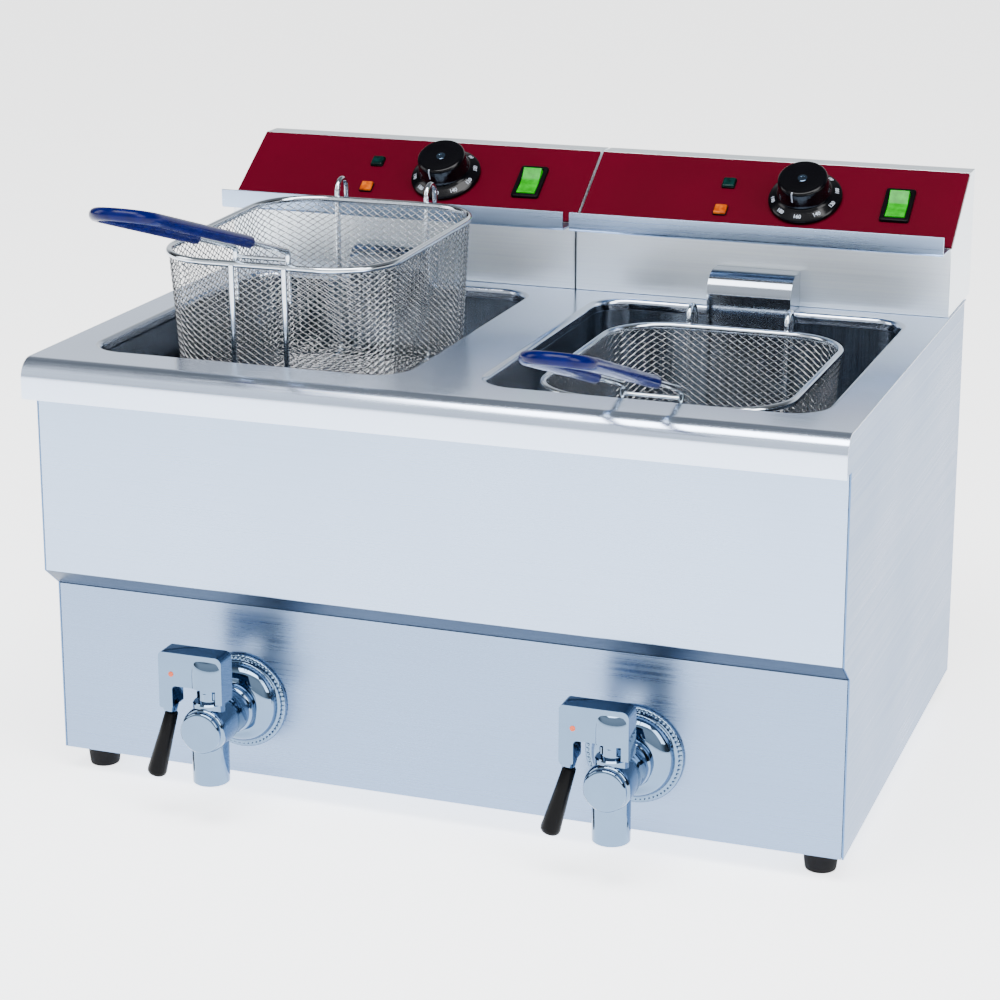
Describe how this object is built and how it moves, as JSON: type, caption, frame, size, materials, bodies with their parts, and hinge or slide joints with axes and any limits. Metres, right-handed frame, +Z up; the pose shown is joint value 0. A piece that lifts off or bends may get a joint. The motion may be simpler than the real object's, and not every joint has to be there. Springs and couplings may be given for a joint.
{
  "type": "deep fryer",
  "caption": "Counter-top electric deep fryer with twin oil tanks, lift-out heads, wire baskets with dipped handles and drain taps.",
  "frame": {"origin": "on the counter, under the middle of the bounding box", "axes": "+X to the user's right, -Y towards the user, +Z up"},
  "size_m": [0.58, 0.5948, 0.456],
  "materials": {
    "brushed_steel": "brushed, fine grain",
    "bright_steel": "bright drawn steel",
    "woven_wire": "woven steel wire",
    "chrome": "polished",
    "crimson_panel": "satin printed panel",
    "black_plastic": "moulded",
    "black_rubber": "moulded",
    "navy_vinyl": "dipped coating",
    "green_rocker": "translucent, lit",
    "green_lens": "translucent lens",
    "orange_lens": "translucent lens",
    "brass": "machined",
    "heating_tube": "heat-tinted tube",
    "thermostat_body": "moulded body"
  },
  "bodies": {
    "cabinet": {"side_panel_left": "brushed_steel", "side_panel_right": "brushed_steel", "rear_panel": "brushed_steel", "base_plate": "brushed_steel", "front_panel_upper": "brushed_steel", "front_panel_lower": "brushed_steel", "top_plate": "brushed_steel", "tank_left": "bright_steel", "tank_right": "bright_steel", "foot_front_left": "black_rubber", "foot_front_right": "black_rubber", "foot_rear_left": "black_rubber", "foot_rear_right": "black_rubber", "tap_flange_left": "chrome", "tap_body_left": "chrome", "tap_cap_left": "chrome", "tap_locknut_left": "brass", "drain_elbow_left": "bright_steel", "tap_flange_right": "chrome", "tap_body_right": "chrome", "tap_cap_right": "chrome", "tap_locknut_right": "brass", "drain_elbow_right": "bright_steel"},
    "lever_left": {"tap_lever_left": "chrome", "tap_grip_left": "black_plastic"},
    "head_left": {"head_casing_left": "brushed_steel", "control_panel_left": "crimson_panel", "basket_rail_left": "brushed_steel", "element_guard_left": "chrome", "heating_element_left": "heating_tube", "thermostat_left": "thermostat_body", "power_lamp_left": "green_lens", "heating_lamp_left": "orange_lens", "switch_frame_left": "black_plastic", "cable_gland_left": "black_plastic"},
    "knob_left": {"thermostat_knob_left": "black_plastic"},
    "rocker_left": {"switch_rocker_left": "green_rocker"},
    "basket_left": {"basket_mesh_left": "woven_wire", "basket_frame_left": "bright_steel", "handle_wire_left": "bright_steel", "handle_grip_left": "navy_vinyl"},
    "lever_right": {"tap_lever_right": "chrome", "tap_grip_right": "black_plastic"},
    "head_right": {"head_casing_right": "brushed_steel", "control_panel_right": "crimson_panel", "basket_rail_right": "brushed_steel", "element_guard_right": "chrome", "heating_element_right": "heating_tube", "thermostat_right": "thermostat_body", "power_lamp_right": "green_lens", "heating_lamp_right": "orange_lens", "switch_frame_right": "black_plastic", "cable_gland_right": "black_plastic"},
    "knob_right": {"thermostat_knob_right": "black_plastic"},
    "rocker_right": {"switch_rocker_right": "green_rocker"},
    "basket_right": {"basket_mesh_right": "woven_wire", "basket_frame_right": "bright_steel", "handle_wire_right": "bright_steel", "handle_grip_right": "navy_vinyl"}
  },
  "joints": [
    {"name": "head_left_lift", "type": "slide", "parent": "cabinet", "child": "head_left", "axis": [0, 0, 1], "range_m": [0, 0.25]},
    {"name": "knob_left_turn", "type": "hinge", "parent": "head_left", "child": "knob_left", "pos_m": [-0.1185, 0.23017, 0.39272], "axis": [0, 0.5548, -0.832], "range_deg": [0, 270]},
    {"name": "rocker_left_tilt", "type": "hinge", "parent": "head_left", "child": "rocker_left", "pos_m": [-0.048, 0.22975, 0.39064], "axis": [1, 0, 0], "range_deg": [-14, 0]},
    {"name": "basket_left_lift", "type": "slide", "parent": "head_left", "child": "basket_left", "axis": [0, 0, 1], "range_m": [0, 0.25]},
    {"name": "lever_left_turn", "type": "hinge", "parent": "cabinet", "child": "lever_left", "pos_m": [-0.145, -0.1614, 0.1028], "axis": [0, 0, 1], "range_deg": [0, 90]},
    {"name": "head_right_lift", "type": "slide", "parent": "cabinet", "child": "head_right", "axis": [0, 0, 1], "range_m": [0, 0.25]},
    {"name": "knob_right_turn", "type": "hinge", "parent": "head_right", "child": "knob_right", "pos_m": [0.1715, 0.23017, 0.39272], "axis": [0, 0.5548, -0.832], "range_deg": [0, 270]},
    {"name": "rocker_right_tilt", "type": "hinge", "parent": "head_right", "child": "rocker_right", "pos_m": [0.242, 0.22975, 0.39064], "axis": [1, 0, 0], "range_deg": [-14, 0]},
    {"name": "basket_right_lift", "type": "slide", "parent": "head_right", "child": "basket_right", "axis": [0, 0, 1], "range_m": [0, 0.25]},
    {"name": "lever_right_turn", "type": "hinge", "parent": "cabinet", "child": "lever_right", "pos_m": [0.145, -0.1614, 0.1028], "axis": [0, 0, 1], "range_deg": [0, 90]}
  ]
}
